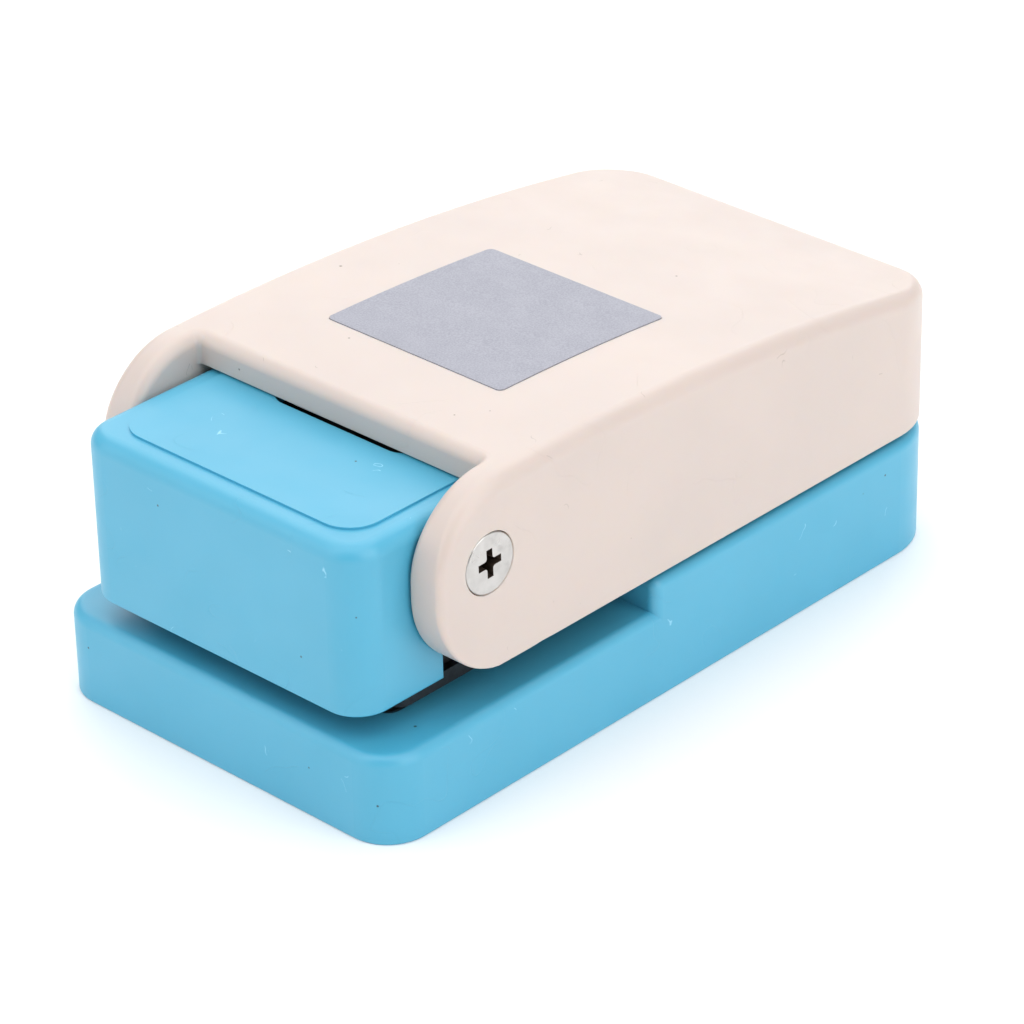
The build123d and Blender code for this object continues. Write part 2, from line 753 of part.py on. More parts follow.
# ================================================================ push_cap
# Flange over the springs and a boss that the press bar bears on.
with BuildPart() as push_cap:
    with BuildSketch(Plane.XY.offset(punch_top_z)):
        with Locations((0, (cap_front_y + cap_rear_y) / 2)):
            RectangleRounded(cap_width, cap_rear_y - cap_front_y, cap_corner_r)
    extrude(amount=cap_flange)
    with BuildSketch(Plane.XY.offset(punch_top_z)):
        with Locations((0, cut_centre_y)):
            RectangleRounded(boss_width, boss_depth, boss_corner_r)
    extrude(amount=cap_top_z - punch_top_z)
    fillet(push_cap.faces().sort_by(Axis.Z)[-1].edges(), edge_break)
    with Locations(Pos(0, cut_centre_y, cap_top_z)):
        CounterBoreHole(screw_d / 2 + screw_bore_fit, screw_head_d / 2 + head_ring, cap_screw_sink)
save(push_cap, "push_cap")

with BuildPart() as punch_screw:
    with Locations(Pos(0, cut_centre_y, cap_top_z - cap_screw_sink + pan_height)):
        add(screw(screw_d, cap_screw_length, screw_head_d, screw_recess_d, False))
save(punch_screw, "punch_screw")

# ================================================================ lever_shell
crown_centre = (lever_crown_y, lever_crown_z - lever_crown_r)
ear_upper_centre = (
    ear_centre_y,
    crown_centre[1] + sqrt((lever_crown_r - ear_front_r) ** 2 - (ear_centre_y - lever_crown_y) ** 2),
)
ear_lower_centre = (ear_centre_y, lever_bottom_z + ear_front_r - ear_heel)
ear_tangent = degrees(asin((ear_centre_y - lever_crown_y) / (lever_crown_r - ear_front_r)))
ear_lower_end = -90.0 - degrees(acos((ear_lower_centre[1] - lever_bottom_z) / ear_front_r))
tail_start = degrees(asin(
    (rear_y - tail_round * sin(radians(tail_slope)) - lever_crown_y) / (lever_crown_r - tail_round)
))
tail_centre = polar(crown_centre, lever_crown_r - tail_round, 90 - tail_start)


def crown_arc(offset, start_y, end_y):
    """The lever's long top arc, offset outward, between two lengthwise places."""
    radius = lever_crown_r + offset
    angles = [90 - degrees(asin((y - lever_crown_y) / radius)) for y in (start_y, end_y)]
    return CenterArc(crown_centre, radius, angles[0], angles[1] - angles[0])


def label_solid(outward, inward, fit):
    """A square cut from the roof's curve, between two offsets of its surface."""
    patch_half = cut_size / 2 + label_corner_r
    first_y = label_centre_y - patch_half
    last_y = label_centre_y + patch_half
    with BuildPart() as patch:
        with BuildSketch(Plane.YZ):
            with BuildLine():
                upper = crown_arc(outward, first_y, last_y)
                lower = crown_arc(-inward, first_y, last_y)
                Line(upper @ 0, lower @ 0)
                Line(upper @ 1, lower @ 1)
            make_face()
        extrude(amount=patch_half, both=True)
        with BuildSketch():
            with Locations((0, label_centre_y)):
                RectangleRounded(cut_size + 2 * fit, cut_size + 2 * fit, label_corner_r)
        extrude(amount=above_all_z, mode=Mode.INTERSECT)
    return patch.part


def on_outer_ring(edge):
    """Whether an edge runs along the lever's sides and round its tail, above the flat bottom."""
    first, middle, last = edge @ 0, edge @ 0.5, edge @ 1
    above_bottom = edge.center().Z > lever_bottom_z + edge_break
    on_side = abs(abs(middle.X) - half_width) < touching
    on_tail = middle.Y > rear_y - rear_corner_r
    is_upright = abs(first.X - last.X) < touching and abs(first.Y - last.Y) < touching
    return above_bottom and (on_side or on_tail) and not (is_upright and middle.Y > 0)


def on_lever_skirt(edge):
    """Whether an edge bounds the lever's sides or tail from below."""
    middle = edge @ 0.5
    at_bottom = abs(middle.Z - lever_bottom_z) < touching
    on_side = abs(abs(middle.X) - half_width) < touching
    return at_bottom and (on_side or middle.Y > rear_y - rear_corner_r)


def on_mouth_ring(edge):
    """Whether an edge of the open front lies between the ears, above the lintel's bottom."""
    middle = edge @ 0.5
    in_mouth = middle.Y < lintel_front_y + touching and abs(middle.X) < ear_inner_x + touching
    return in_mouth and middle.Z > lintel_bottom_z


pivot_seat = screw_seat(shoulder_d, pivot_head_d, pivot_head_ring, ear_thick + bore_run_out)
label_seat = label_solid(bore_run_out, label_recess, label_fit)
with BuildPart() as lever_shell:
    with BuildSketch(Plane.YZ):
        with BuildLine():
            start = polar(ear_lower_centre, ear_front_r, ear_lower_end)
            low_arc = ThreePointArc(
                start,
                polar(ear_lower_centre, ear_front_r, (ear_lower_end - 180) / 2),
                polar(ear_lower_centre, ear_front_r, 180),
            )
            Line(low_arc @ 1, polar(ear_upper_centre, ear_front_r, 180))
            high_arc = ThreePointArc(
                polar(ear_upper_centre, ear_front_r, 180),
                polar(ear_upper_centre, ear_front_r, (270 - ear_tangent) / 2),
                polar(ear_upper_centre, ear_front_r, 90 - ear_tangent),
            )
            top_arc = ThreePointArc(
                high_arc @ 1,
                polar(crown_centre, lever_crown_r, 90 - (ear_tangent + tail_start) / 2),
                polar(crown_centre, lever_crown_r, 90 - tail_start),
            )
            tail_arc = ThreePointArc(
                top_arc @ 1,
                polar(tail_centre, tail_round, 90 - (tail_start + tail_slope) / 2),
                polar(tail_centre, tail_round, 90 - tail_slope),
            )
            Polyline(tail_arc @ 1, (rear_y, lever_bottom_z), start)
        make_face()
    extrude(amount=half_width, both=True)
    lever_plan = front_rear_plan(base_width, front_y, rear_y, 0.0, rear_corner_r)
    extrude(lever_plan, amount=above_all_z, mode=Mode.INTERSECT)
    fillet(lever_shell.edges().filter_by(on_outer_ring), outer_round)
    fillet(lever_shell.edges().filter_by(on_lever_skirt), skirt_round)
    # open front between the ears, under and before the lintel
    mouth_plan = front_rear_plan(
        2 * ear_inner_x, lintel_front_y - beyond, lintel_front_y, 0.0, lintel_corner_r
    )
    extrude(mouth_plan, amount=above_all_z, mode=Mode.SUBTRACT)
    fillet(lever_shell.edges().filter_by(on_mouth_ring), inner_round)
    with BuildSketch():
        with Locations((0, lintel_back_y - beyond / 2)):
            Rectangle(2 * ear_inner_x, beyond)
    extrude(amount=lintel_bottom_z, mode=Mode.SUBTRACT)
    # hollow under the roof
    with BuildSketch(Plane.YZ):
        with BuildLine():
            roof = crown_arc(-lever_roof, lintel_back_y, rear_y - lever_wall)
            Polyline(roof @ 1, (rear_y - lever_wall, 0), (lintel_back_y, 0), roof @ 0)
        make_face()
    hollow = extrude(amount=half_width - lever_wall, both=True, mode=Mode.PRIVATE)
    hollow_plan = front_rear_plan(
        base_width - 2 * lever_wall, front_y, rear_y - lever_wall, 0.0, rear_corner_r - lever_wall
    )
    add(hollow & extrude(hollow_plan, amount=lever_crown_z, mode=Mode.PRIVATE), mode=Mode.SUBTRACT)
    # ribs that hold the press bar
    rib_root_z = lever_crown_z - lever_roof + boss_root
    for side in (-1, 1):
        with BuildSketch(Plane.YZ.offset(side * (bar_length - bar_rib_thick) / 2)):
            with Locations((cut_centre_y, bar_z)):
                Circle(bar_rib_r)
            with Locations((cut_centre_y, (bar_z + rib_root_z) / 2)):
                Rectangle(2 * bar_rib_r, rib_root_z - bar_z)
        extrude(amount=bar_rib_thick / 2, both=True)
    # rib that the catch grips
    with BuildSketch(Plane.YZ):
        with BuildLine():
            rib_top = crown_arc(boss_root - lever_roof, catch_y - catch_length / 2, catch_rear_y)
            Polyline(
                rib_top @ 1,
                (catch_rear_y, catch_rib_end_z),
                (catch_y - catch_length / 2, catch_rib_end_z),
                rib_top @ 0,
            )
        make_face()
    extrude(amount=catch_rib_thick / 2, both=True)
    # bore for the press bar, pivot bores and the label's recess
    with BuildSketch(Plane.YZ):
        with Locations((cut_centre_y, bar_z)):
            Circle(bar_d / 2 + screw_bore_fit)
    extrude(amount=bar_length / 2 + screw_bore_fit, both=True, mode=Mode.SUBTRACT)
    with Locations(
        Pos(half_width, pivot_y, pivot_z) * Rot(0, 90, 0),
        Pos(-half_width, pivot_y, pivot_z) * Rot(0, -90, 0),
    ):
        add(pivot_seat, mode=Mode.SUBTRACT)
    add(label_seat, mode=Mode.SUBTRACT)
save(lever_shell, "lever_shell")

# ================================================================ label_plate
# Thin foil square that follows the curve of the roof.
label_foil = label_solid(label_proud, label_recess, 0.0)
with BuildPart() as label_plate:
    add(label_foil)
save(label_plate, "label_plate")

# ================================================================ press_bar
with BuildPart() as press_bar:
    with BuildSketch(Plane.YZ):
        with Locations((cut_centre_y, bar_z)):
            Circle(bar_d / 2)
    extrude(amount=bar_length / 2, both=True)
    chamfer(press_bar.edges().filter_by(GeomType.CIRCLE), edge_break)
save(press_bar, "press_bar")

# ================================================================ catch_clip
# Spring-steel clip on the high deck; its two leaves grip the lever's rear rib.
with BuildPart() as catch_clip:
    leaf_x = catch_rib_thick / 2 + catch_side_gap + catch_leaf / 2
    clip_width = 2 * leaf_x + catch_leaf
    with BuildSketch(Plane.XY.offset(high_deck_z)):
        with Locations((0, catch_rear_y - catch_foot_length / 2)):
            Rectangle(clip_width + 2 * catch_foot_lip, catch_foot_length)
    extrude(amount=catch_leaf)
    for side in (-1, 1):
        with BuildSketch(Plane.YZ.offset(side * leaf_x)):
            with Locations((catch_y, high_deck_z + catch_leaf_height / 2)):
                Rectangle(catch_length, catch_leaf_height)
        extrude(amount=catch_leaf / 2, both=True)
    with Locations(Pos(0, catch_screw_y, high_deck_z + catch_leaf)):
        Hole(small_screw_d / 2 + screw_bore_fit, catch_leaf)
save(catch_clip, "catch_clip")

catch_screw_top_z = high_deck_z + catch_leaf + pan_height_share * small_screw_head_d
with BuildPart() as catch_screw:
    with Locations(Pos(0, catch_screw_y, catch_screw_top_z)):
        add(screw(small_screw_d, catch_screw_length, small_screw_head_d, small_screw_recess_d, False))
save(catch_screw, "catch_screw")
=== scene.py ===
"""Looks of a lever craft punch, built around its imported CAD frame.

A blue moulded base and head, a cream lever that turns on two nickel-plated screws, a silver
foil square on the lever, and a steel and nylon cutting set inside. Lengths are in metres.
"""

import json
import logging
from dataclasses import dataclass, field
from enum import Enum
from math import cos, pi, radians, sin

import bmesh
import bpy
from mathutils import Matrix, Vector

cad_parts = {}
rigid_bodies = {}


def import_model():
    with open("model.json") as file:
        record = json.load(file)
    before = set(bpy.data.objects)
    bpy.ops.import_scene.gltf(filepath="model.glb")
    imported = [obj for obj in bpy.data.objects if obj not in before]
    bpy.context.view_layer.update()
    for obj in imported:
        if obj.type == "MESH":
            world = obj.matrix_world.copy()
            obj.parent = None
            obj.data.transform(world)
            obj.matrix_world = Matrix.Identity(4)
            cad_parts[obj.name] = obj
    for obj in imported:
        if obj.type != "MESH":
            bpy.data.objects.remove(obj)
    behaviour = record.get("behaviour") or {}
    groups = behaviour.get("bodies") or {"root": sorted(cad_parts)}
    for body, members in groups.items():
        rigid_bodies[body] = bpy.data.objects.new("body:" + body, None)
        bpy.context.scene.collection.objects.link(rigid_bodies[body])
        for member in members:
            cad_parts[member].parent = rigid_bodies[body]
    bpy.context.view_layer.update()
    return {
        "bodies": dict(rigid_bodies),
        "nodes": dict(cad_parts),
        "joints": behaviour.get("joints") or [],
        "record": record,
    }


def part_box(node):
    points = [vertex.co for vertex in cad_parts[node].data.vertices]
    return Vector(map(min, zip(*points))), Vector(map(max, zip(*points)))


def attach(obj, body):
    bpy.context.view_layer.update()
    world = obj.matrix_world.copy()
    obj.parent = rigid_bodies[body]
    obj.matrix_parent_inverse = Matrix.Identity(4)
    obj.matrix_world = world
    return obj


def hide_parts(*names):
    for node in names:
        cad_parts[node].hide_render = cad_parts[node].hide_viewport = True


MM = 0.001
LATHE_SEAM = 1e-6
CAD_SEAM = 1e-7
NO_TURN = (0.0, 0.0, 0.0)
EVEN = (1.0, 1.0, 1.0)
Colour = tuple[float, float, float]
Triple = tuple[float, float, float]
log = logging.getLogger("punch")


class Pattern(Enum):
    """How the surface of a metal or nylon piece is marked."""

    GROUND = "parallel grinding marks along the piece"
    PLATED = "soft clouds of thin plating"
    PAINTED = "fine orange peel of black paint"
    MOULDED = "spark-eroded mould grain"


class HeadForm(Enum):
    """Shape of a screw's head."""

    COUNTERSUNK = "flat head over a cone"
    PAN = "low dome over a flat seat"


class Nodes:
    """Writes the shader nodes of one material."""

    def __init__(self, name: str) -> None:
        """Starts a material with an output and a principled shader.

        Args:
            name: The material's name.
        """
        self.material = bpy.data.materials.new(name)
        self.material.use_nodes = True
        self.tree = self.material.node_tree
        self.tree.nodes.clear()
        self.output = self.add("ShaderNodeOutputMaterial")
        self.shader = self.add("ShaderNodeBsdfPrincipled")
        self.place = self.add("ShaderNodeTexCoord")
        self.relief: bpy.types.Node | None = None
        self.join(self.shader, "BSDF", self.output, "Surface")

    def add(self, kind: str, **settings: object) -> bpy.types.Node:
        """Adds a node and sets its fields.

        Args:
            kind: The node's type name.
            settings: Fields of the node to set.

        Returns:
            The new node.
        """
        node = self.tree.nodes.new(kind)
        for key, value in settings.items():
            setattr(node, key, value)
        return node

    def join(self, source: bpy.types.Node, out: str | int, target: bpy.types.Node, into: str | int) -> None:
        """Links one node's output to another node's input.

        Args:
            source: The node that gives the value.
            out: Its output.
            target: The node that takes the value.
            into: Its input.
        """
        self.tree.links.new(source.outputs[out], target.inputs[into])

    def mapped(self, stretch: Triple, turn: Triple = NO_TURN) -> bpy.types.Node:
        """Gives the object's own coordinates, turned and then stretched.

        Args:
            stretch: Factor along each axis.
            turn: Turn about each axis in radians.

        Returns:
            The mapping node.
        """
        mapping = self.add("ShaderNodeMapping")
        mapping.inputs["Rotation"].default_value = turn
        mapping.inputs["Scale"].default_value = stretch
        self.join(self.place, "Object", mapping, "Vector")
        return mapping

    def noise(self, scale: float, detail: float, stretch: Triple = EVEN,
              turn: Triple = NO_TURN) -> bpy.types.Node:
        """Adds a noise texture on the object's own coordinates.

        Args:
            scale: Blobs per metre.
            detail: Octaves of finer noise.
            stretch: Factor along each axis.
            turn: Turn about each axis in radians.

        Returns:
            The noise node.
        """
        texture = self.add("ShaderNodeTexNoise")
        texture.inputs["Scale"].default_value = scale
        texture.inputs["Detail"].default_value = detail
        self.join(self.mapped(stretch, turn), "Vector", texture, "Vector")
        return texture

    def ranged(self, source: bpy.types.Node, out: str | int, start: float, end: float,
               low: float, high: float) -> bpy.types.Node:
        """Maps a value from start..end to low..high, held at both ends.

        Args:
            source: The node that gives the value.
            out: Its output.
            start: Value that gives low.
            end: Value that gives high.
            low: Result at start.
            high: Result at end.

        Returns:
            The map range node.
        """
        mapped = self.add("ShaderNodeMapRange", clamp=True)
        for name, value in (("From Min", start), ("From Max", end), ("To Min", low), ("To Max", high)):
            mapped.inputs[name].default_value = value
        self.join(source, out, mapped, "Value")
        return mapped

    def maths(self, operation: str, first: bpy.types.Node, second: bpy.types.Node | float) -> bpy.types.Node:
        """Works on one or two values.

        Args:
            operation: The Math node's operation.
            first: The node whose first output is the first value.
            second: The other node, or a number.

        Returns:
            The math node.
        """
        node = self.add("ShaderNodeMath", operation=operation)
        self.join(first, 0, node, 0)
        if isinstance(second, float):
            node.inputs[1].default_value = second
        else:
            self.join(second, 0, node, 1)
        return node

    def mix(self, factor: bpy.types.Node, first: Colour | bpy.types.Node, second: Colour) -> bpy.types.Node:
        """Mixes two colours by a factor.

        Args:
            factor: The node whose first output is the factor.
            first: A colour, or an earlier mix node.
            second: The colour at a factor of 1.

        Returns:
            The mix node, whose colour is its output 2.
        """
        node = self.add("ShaderNodeMix", data_type="RGBA")
        self.join(factor, 0, node, "Factor")
        if isinstance(first, bpy.types.Node):
            self.join(first, 2, node, 6)
        else:
            node.inputs[6].default_value = (*first, 1.0)
        node.inputs[7].default_value = (*second, 1.0)
        return node

    def emboss(self, source: bpy.types.Node, out: str | int, height: float) -> None:
        """Adds a relief of a real height on top of the earlier ones.

        Args:
            source: The node that gives the height from 0 to 1.
            out: Its output.
            height: Height of the relief in metres.
        """
        node = self.add("ShaderNodeBump")
        node.inputs["Distance"].default_value = height
        self.join(source, out, node, "Height")
        if self.relief is not None:
            self.join(self.relief, "Normal", node, "Normal")
        self.join(node, "Normal", self.shader, "Normal")
        self.relief = node

    def specks(self, per_metre: float, radius: float) -> bpy.types.Node:
        """Gives 1 inside sparse round specks of dust and 0 elsewhere.

        Args:
            per_metre: Cells per metre, each with one speck somewhere in it.
            radius: Radius of a speck in metres.

        Returns:
            A node whose first output is the mask.
        """
        cells = self.add("ShaderNodeTexVoronoi", feature="F1")
        cells.inputs["Scale"].default_value = per_metre
        self.join(self.mapped(EVEN), "Vector", cells, "Vector")
        reach = radius * per_metre
        core = 0.6 * reach
        return self.ranged(cells, "Distance", core, reach, 1.0, 0.0)

    def hairs(self, per_metre: float, width: float, rarity: float, turn: Triple) -> bpy.types.Node:
        """Gives 1 along short thin curls of lint or hairline scuffs and 0 elsewhere.

        Args:
            per_metre: Size of the curls, as blobs per metre.
            width: Half width of a line, as a share of the noise's range.
            rarity: Noise level above which a stretch of line shows.
            turn: Turn of the pattern about each axis in radians.

        Returns:
            A node whose first output is the mask.
        """
        mid_level = 0.5
        core = 0.4 * width
        gate_scale = 0.8 * per_metre
        gate_ramp = 0.015
        level = self.maths("SUBTRACT", self.noise(per_metre, 1.0, turn=turn), mid_level)
        line = self.ranged(self.maths("ABSOLUTE", level, 0.0), 0, core, width, 1.0, 0.0)
        patches = self.noise(gate_scale, 0.0, turn=turn)
        gate = self.ranged(patches, 0, rarity, rarity + gate_ramp, 0.0, 1.0)
        return self.maths("MULTIPLY", line, gate)


@dataclass(frozen=True)
class MouldedPlastic:
    """A semi-gloss moulded plastic with flow clouds, fine skin, dust, lint and hairline scuffs."""

    name: str
    colour: Colour
    cloud: Colour
    dust: Colour
    lint: Colour
    glow: float
    glow_radius: Triple
    glow_depth: float
    roughness: float = 0.36
    duller: float = 0.08
    shinier: float = 0.06
    reflection: float = 0.75
    index: float = 1.5
    cloud_scale: float = 70.0
    dust_cells: float = 210.0
    dust_radius: float = 0.16 * MM
    grit_cells: float = 95.0
    grit_radius: float = 0.24 * MM
    lint_scale: float = 420.0
    lint_width: float = 0.010
    lint_rarity: float = 0.79
    lint_turn: Triple = (0.4, 0.9, 0.2)
    rub_scale: float = 160.0
    sink_scale: float = 60.0
    sink_depth: float = 0.03 * MM
    skin_scale: float = 5200.0
    skin_depth: float = 0.0035 * MM
    scuff_scale: float = 130.0
    scuff_width: float = 0.002
    scuff_rarity: float = 0.6
    scuff_turn: Triple = (1.1, 0.3, 0.7)
    scuff_depth: float = 0.02 * MM

    def make(self) -> bpy.types.Material:
        """Builds the material.

        Returns:
            The material.
        """
        nodes = Nodes(self.name)
        clouds = nodes.ranged(nodes.noise(self.cloud_scale, 2.0), 0, 0.35, 0.65, 0.0, 1.0)
        tint = nodes.mix(clouds, self.colour, self.cloud)
        tint = nodes.mix(nodes.specks(self.dust_cells, self.dust_radius), tint, self.dust)
        tint = nodes.mix(nodes.specks(self.grit_cells, self.grit_radius), tint, self.dust)
        curls = nodes.hairs(self.lint_scale, self.lint_width, self.lint_rarity, self.lint_turn)
        tint = nodes.mix(curls, tint, self.lint)
        nodes.join(tint, 2, nodes.shader, "Base Color")
        rubbed = nodes.noise(self.rub_scale, 5.0)
        rough = nodes.ranged(rubbed, 0, 0.3, 0.7, self.roughness - self.shinier, self.roughness + self.duller)
        nodes.join(rough, 0, nodes.shader, "Roughness")
        nodes.emboss(nodes.noise(self.sink_scale, 0.0), 0, self.sink_depth)
        nodes.emboss(nodes.noise(self.skin_scale, 3.0), 0, self.skin_depth)
        scuffs = nodes.hairs(self.scuff_scale, self.scuff_width, self.scuff_rarity, self.scuff_turn)
        nodes.emboss(scuffs, 0, -self.scuff_depth)
        shader = nodes.shader.inputs
        shader["IOR"].default_value = self.index
        shader["Specular IOR Level"].default_value = self.reflection
        shader["Subsurface Weight"].default_value = self.glow
        shader["Subsurface Radius"].default_value = self.glow_radius
        shader["Subsurface Scale"].default_value = self.glow_depth
        return nodes.material


@dataclass(frozen=True)
class Foil:
    """Satin silver foil with a fine mottled grain and a faint metal-flake sparkle."""

    name: str
    colour: Colour
    dark: Colour
    roughness: float = 0.46
    duller: float = 0.12
    metal: float = 0.3
    grain_scale: float = 5200.0
    grain_depth: float = 0.003 * MM
    flake_scale: float = 15000.0
    rub_scale: float = 400.0
    ripple_scale: float = 90.0
    ripple_depth: float = 0.008 * MM

    def make(self) -> bpy.types.Material:
        """Builds the material.

        Returns:
            The material.
        """
        nodes = Nodes(self.name)
        grain = nodes.noise(self.grain_scale, 3.0)
        tint = nodes.mix(nodes.ranged(grain, 0, 0.38, 0.62, 0.0, 0.8), self.colour, self.dark)
        flakes = nodes.ranged(nodes.noise(self.flake_scale, 0.0), 0, 0.55, 0.75, 0.0, 0.5)
        tint = nodes.mix(flakes, tint, self.dark)
        nodes.join(tint, 2, nodes.shader, "Base Color")
        rubbed = nodes.noise(self.rub_scale, 3.0)
        rough = nodes.ranged(rubbed, 0, 0.3, 0.7, self.roughness, self.roughness + self.duller)
        nodes.join(rough, 0, nodes.shader, "Roughness")
        nodes.emboss(grain, 0, self.grain_depth)
        nodes.emboss(nodes.noise(self.ripple_scale, 1.0), 0, self.ripple_depth)
        nodes.shader.inputs["Metallic"].default_value = self.metal
        return nodes.material


@dataclass(frozen=True)
class Hardware:
    """A metal or nylon finish: two shades, cloudy gloss and one pattern of marks."""

    name: str
    colour: Colour
    shade: Colour
    roughness: float
    pattern: Pattern
    metallic: float = 1.0
    duller: float = 0.1
    shinier: float = 0.05
    grime_scale: float = 500.0
    grime_shade: float = 0.5
    rub_scale: float = 350.0
    mark_depth: float = 0.003 * MM
    scratch_scale: float = 300.0
    scratch_width: float = 0.003
    scratch_rarity: float = 0.52
    scratch_turn: Triple = (0.2, 0.5, 1.3)
    scratch_depth: float = 0.01 * MM

    def marks(self, nodes: Nodes) -> bpy.types.Node:
        """Adds the noise that draws the finish's marks.

        Args:
            nodes: The material being written.

        Returns:
            The noise node.
        """
        if self.pattern is Pattern.GROUND:
            return nodes.noise(9000.0, 2.0, (1.0, 0.03, 1.0))
        if self.pattern is Pattern.PLATED:
            return nodes.noise(900.0, 4.0)
        if self.pattern is Pattern.PAINTED:
            return nodes.noise(2600.0, 1.0)
        return nodes.noise(7000.0, 2.0)

    def make(self) -> bpy.types.Material:
        """Builds the material.

        Returns:
            The material.
        """
        nodes = Nodes(self.name)
        marks = self.marks(nodes)
        tint = nodes.mix(nodes.ranged(marks, 0, 0.35, 0.65, 0.0, 1.0), self.colour, self.shade)
        grime = nodes.ranged(nodes.noise(self.grime_scale, 5.0), 0, 0.58, 0.75, 0.0, 0.35)
        tint = nodes.mix(grime, tint, tuple(self.grime_shade * channel for channel in self.shade))
        nodes.join(tint, 2, nodes.shader, "Base Color")
        rubbed = nodes.noise(self.rub_scale, 3.0)
        rough = nodes.ranged(rubbed, 0, 0.3, 0.7, self.roughness - self.shinier, self.roughness + self.duller)
        nodes.join(rough, 0, nodes.shader, "Roughness")
        nodes.emboss(marks, 0, self.mark_depth)
        scratches = nodes.hairs(self.scratch_scale, self.scratch_width, self.scratch_rarity, self.scratch_turn)
        nodes.emboss(scratches, 0, -self.scratch_depth)
        nodes.shader.inputs["Metallic"].default_value = self.metallic
        return nodes.material


BLUE = MouldedPlastic(
    "blue_plastic", (0.066, 0.395, 0.585), (0.073, 0.41, 0.605), (0.02, 0.07, 0.10), (0.25, 0.60, 0.78),
    glow=0.18, glow_radius=(0.25, 0.8, 1.0), glow_depth=0.9 * MM,
)
CREAM = MouldedPlastic(
    "cream_plastic", (0.60, 0.515, 0.475), (0.62, 0.53, 0.485), (0.22, 0.16, 0.13), (0.46, 0.39, 0.35),
    glow=0.35, glow_radius=(1.0, 0.55, 0.3), glow_depth=1.8 * MM,
)
FOIL = Foil("silver_foil", (0.375, 0.38, 0.435), (0.285, 0.29, 0.34))
NICKEL = Hardware("nickel_steel", (0.60, 0.585, 0.57), (0.54, 0.525, 0.51), 0.30, Pattern.PLATED)
# Near-black brown for the faces struck into the screw heads' cross recesses: part dark oxide, part painted
# shade for the shade deep in each recess.
RECESS = Hardware("recess_grime", (0.045, 0.030, 0.022), (0.12, 0.085, 0.065), 0.45, Pattern.PLATED, 0.7)
ZINC = Hardware("zinc_steel", (0.62, 0.63, 0.64), (0.50, 0.52, 0.54), 0.34, Pattern.PLATED)
GROUND = Hardware("ground_steel", (0.60, 0.60, 0.60), (0.46, 0.46, 0.47), 0.30, Pattern.GROUND)
SPRING = Hardware("spring_steel", (0.42, 0.42, 0.43), (0.33, 0.33, 0.34), 0.30, Pattern.GROUND)
BLACK_STEEL = Hardware("black_steel", (0.016, 0.016, 0.018), (0.026, 0.026, 0.028), 0.34, Pattern.PAINTED, 0.3)
BLACK_NYLON = Hardware("black_nylon", (0.018, 0.018, 0.020), (0.028, 0.028, 0.028), 0.52, Pattern.MOULDED, 0.0)
FINISHES = (BLUE, CREAM, FOIL, NICKEL, RECESS, ZINC, GROUND, SPRING, BLACK_STEEL, BLACK_NYLON)


@dataclass(frozen=True)
class Palette:
    """Every finish of the punch, made once."""

    made: dict[str, bpy.types.Material]

    @classmethod
    def mix_all(cls) -> "Palette":
        """Makes every finish.

        Returns:
            The palette.
        """
        return cls({finish.name: finish.make() for finish in FINISHES})

    def dress_frame(self, frame: dict) -> None:
        """Gives every CAD node the finish of its slot.
        """
        for part in frame["record"]["subparts"]:
            materials = frame["nodes"][part["node"]].data.materials
            materials.clear()
            materials.append(self.made[part["material_slot"]])
            log.info("node %s dressed in %s", part["node"], part["material_slot"])


